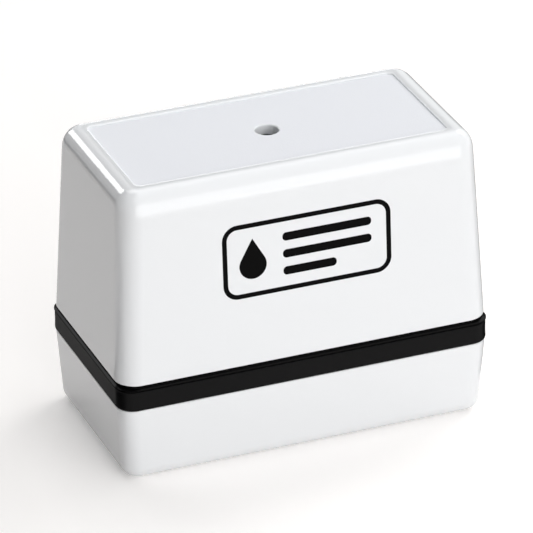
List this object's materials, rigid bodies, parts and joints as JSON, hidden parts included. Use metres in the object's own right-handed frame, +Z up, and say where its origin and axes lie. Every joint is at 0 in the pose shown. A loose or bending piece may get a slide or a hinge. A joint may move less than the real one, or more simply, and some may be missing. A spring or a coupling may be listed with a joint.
{
  "type": "pre-inked stamp",
  "caption": "Rectangular pre-inked hand stamp on its dust cap: a white grip with a filler hole, a black collar, and a sprung skirt around a foam die.",
  "frame": {"origin": "centre of the dust cap's flat underside, on the surface that the stamp stands on", "axes": "+X along the stamp to its right end, +Y to its back (the front face looks along -Y), +Z up through the filler hole"},
  "size_m": [0.0804, 0.0432, 0.0628],
  "materials": {
    "handle_white": "polished white ABS, with a fine matt texture on the recessed panel",
    "cap_white": "polished white ABS",
    "collar_black": "satin black ABS",
    "skirt_black": "satin black ABS",
    "carrier_black": "satin black ABS",
    "tank_natural": "natural polypropylene",
    "grid_natural": "natural polypropylene",
    "reservoir_foam": "open-cell foam, soaked in black ink",
    "wick_felt": "pressed felt, soaked in black ink",
    "die_foam": "microporous foam, inked",
    "tube_black": "black polyethylene",
    "seal_rubber": "black nitrile rubber",
    "screw_steel": "zinc-plated steel",
    "spring_steel": "drawn stainless spring wire"
  },
  "bodies": {
    "cap": {"dust_cap": "cap_white"},
    "handle": {"handle_shell": "handle_white", "collar_frame": "collar_black", "cartridge_carrier": "carrier_black", "ink_tank": "tank_natural", "reservoir_foam": "reservoir_foam", "wick_felt": "wick_felt", "support_grid": "grid_natural", "stamp_die": "die_foam", "die_frame": "carrier_black", "filler_tube": "tube_black", "tube_seal": "seal_rubber", "handle_screws": "screw_steel", "carrier_screws": "screw_steel", "carrier_washers": "screw_steel", "spring_front_left": "spring_steel", "spring_front_right": "spring_steel", "spring_rear_left": "spring_steel", "spring_rear_right": "spring_steel"},
    "skirt": {"skirt": "skirt_black"}
  },
  "joints": [
    {"name": "cap_lift", "type": "slide", "parent": "cap", "child": "handle", "axis": [0, 0, 1], "range_m": [0, 0.025]},
    {"name": "skirt_slide", "type": "slide", "parent": "handle", "child": "skirt", "axis": [0, 0, 1], "range_m": [0, 0.0024], "stiffness_N_per_m": 6800, "springref_m": -0.0015, "deforming": ["spring_front_left", "spring_front_right", "spring_rear_left", "spring_rear_right"]}
  ]
}
